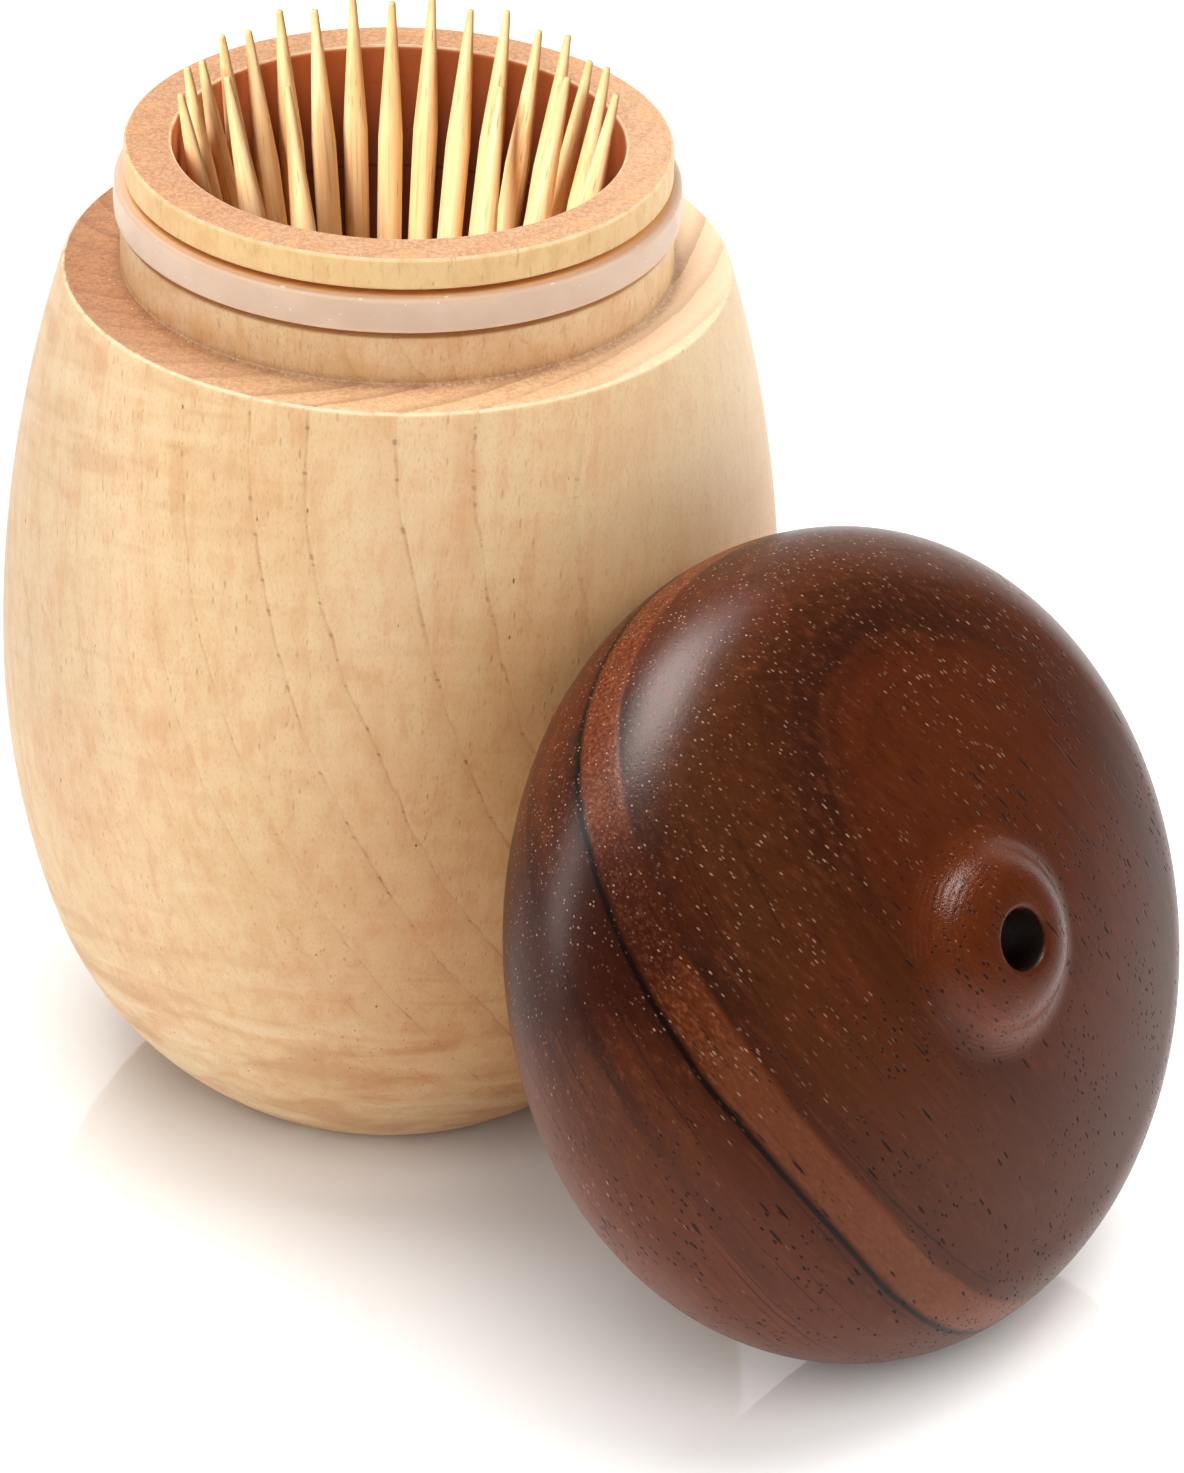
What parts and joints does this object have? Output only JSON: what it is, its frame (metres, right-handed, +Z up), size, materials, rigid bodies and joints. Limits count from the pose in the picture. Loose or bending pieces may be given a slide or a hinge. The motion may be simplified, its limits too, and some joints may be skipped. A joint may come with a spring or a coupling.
{
  "type": "toothpick dispenser",
  "caption": "Acorn-shaped turned wooden jar of toothpicks with a sealing ring round its neck and a lift-off lid that has a dispensing hole through its nib, leaning on the jar.",
  "frame": {"origin": "centre of the jar's base, on the floor it stands on", "axes": "+Z up along the jar's axis, -Y to the front where the picture was taken from, +X to the right"},
  "size_m": [0.0905, 0.0891, 0.084],
  "materials": {
    "pale_wood": "pale close-grained wood, oiled satin",
    "dark_wood": "dark open-pored wood, polished",
    "soft_seal": "milky translucent silicone rubber",
    "bamboo": "plain pale bamboo"
  },
  "bodies": {
    "jar": {"jar": "pale_wood", "seal_ring": "soft_seal"},
    "lid": {"lid": "dark_wood"},
    "toothpick_01": {"toothpick_01": "bamboo"},
    "toothpick_02": {"toothpick_02": "bamboo"},
    "toothpick_03": {"toothpick_03": "bamboo"},
    "toothpick_04": {"toothpick_04": "bamboo"},
    "toothpick_05": {"toothpick_05": "bamboo"},
    "toothpick_06": {"toothpick_06": "bamboo"},
    "toothpick_07": {"toothpick_07": "bamboo"},
    "toothpick_08": {"toothpick_08": "bamboo"},
    "toothpick_09": {"toothpick_09": "bamboo"},
    "toothpick_10": {"toothpick_10": "bamboo"},
    "toothpick_11": {"toothpick_11": "bamboo"},
    "toothpick_12": {"toothpick_12": "bamboo"},
    "toothpick_13": {"toothpick_13": "bamboo"},
    "toothpick_14": {"toothpick_14": "bamboo"},
    "toothpick_15": {"toothpick_15": "bamboo"},
    "toothpick_16": {"toothpick_16": "bamboo"},
    "toothpick_17": {"toothpick_17": "bamboo"},
    "toothpick_18": {"toothpick_18": "bamboo"},
    "toothpick_19": {"toothpick_19": "bamboo"},
    "toothpick_20": {"toothpick_20": "bamboo"},
    "toothpick_21": {"toothpick_21": "bamboo"}
  },
  "joints": [
    {"name": "lid_lift", "type": "slide", "parent": "jar", "child": "lid", "axis": [0.6633, -0.6229, 0.4147], "range_m": [0, 0.06]},
    {"name": "draw_01", "type": "slide", "parent": "jar", "child": "toothpick_01", "axis": [0.192, 0.0687, 0.979], "range_m": [0, 0.066]},
    {"name": "draw_02", "type": "slide", "parent": "jar", "child": "toothpick_02", "axis": [0.1563, 0.0761, 0.9848], "range_m": [0, 0.066]},
    {"name": "draw_03", "type": "slide", "parent": "jar", "child": "toothpick_03", "axis": [0.1721, 0.0725, 0.9824], "range_m": [0, 0.066]},
    {"name": "draw_04", "type": "slide", "parent": "jar", "child": "toothpick_04", "axis": [0.1306, 0.0495, 0.9902], "range_m": [0, 0.066]},
    {"name": "draw_05", "type": "slide", "parent": "jar", "child": "toothpick_05", "axis": [0.1292, 0.0748, 0.9888], "range_m": [0, 0.066]},
    {"name": "draw_06", "type": "slide", "parent": "jar", "child": "toothpick_06", "axis": [0.0867, 0.0283, 0.9958], "range_m": [0, 0.066]},
    {"name": "draw_07", "type": "slide", "parent": "jar", "child": "toothpick_07", "axis": [0.0681, 0.075, 0.9949], "range_m": [0, 0.066]},
    {"name": "draw_08", "type": "slide", "parent": "jar", "child": "toothpick_08", "axis": [0.0301, 0.0154, 0.9994], "range_m": [0, 0.066]},
    {"name": "draw_09", "type": "slide", "parent": "jar", "child": "toothpick_09", "axis": [-0.0032, 0.0729, 0.9973], "range_m": [0, 0.066]},
    {"name": "draw_10", "type": "slide", "parent": "jar", "child": "toothpick_10", "axis": [-0.0313, 0.0127, 0.9994], "range_m": [0, 0.066]},
    {"name": "draw_11", "type": "slide", "parent": "jar", "child": "toothpick_11", "axis": [-0.0744, 0.0688, 0.9949], "range_m": [0, 0.066]},
    {"name": "draw_12", "type": "slide", "parent": "jar", "child": "toothpick_12", "axis": [-0.0888, 0.0206, 0.9958], "range_m": [0, 0.066]},
    {"name": "draw_13", "type": "slide", "parent": "jar", "child": "toothpick_13", "axis": [-0.1352, 0.0633, 0.9888], "range_m": [0, 0.066]},
    {"name": "draw_14", "type": "slide", "parent": "jar", "child": "toothpick_14", "axis": [-0.1344, 0.0379, 0.9902], "range_m": [0, 0.066]},
    {"name": "draw_15", "type": "slide", "parent": "jar", "child": "toothpick_15", "axis": [-0.1778, 0.0573, 0.9824], "range_m": [0, 0.066]},
    {"name": "draw_16", "type": "slide", "parent": "jar", "child": "toothpick_16", "axis": [-0.1623, 0.0622, 0.9848], "range_m": [0, 0.066]},
    {"name": "draw_17", "type": "slide", "parent": "jar", "child": "toothpick_17", "axis": [-0.1973, 0.0517, 0.979], "range_m": [0, 0.066]},
    {"name": "draw_18", "type": "slide", "parent": "jar", "child": "toothpick_18", "axis": [0.1767, 0.0383, 0.9835], "range_m": [0, 0.066]},
    {"name": "draw_19", "type": "slide", "parent": "jar", "child": "toothpick_19", "axis": [0, 0, 1], "range_m": [0, 0.066]},
    {"name": "draw_20", "type": "slide", "parent": "jar", "child": "toothpick_20", "axis": [0, 0, 1], "range_m": [0, 0.066]},
    {"name": "draw_21", "type": "slide", "parent": "jar", "child": "toothpick_21", "axis": [-0.1794, 0.0227, 0.9835], "range_m": [0, 0.066]}
  ]
}
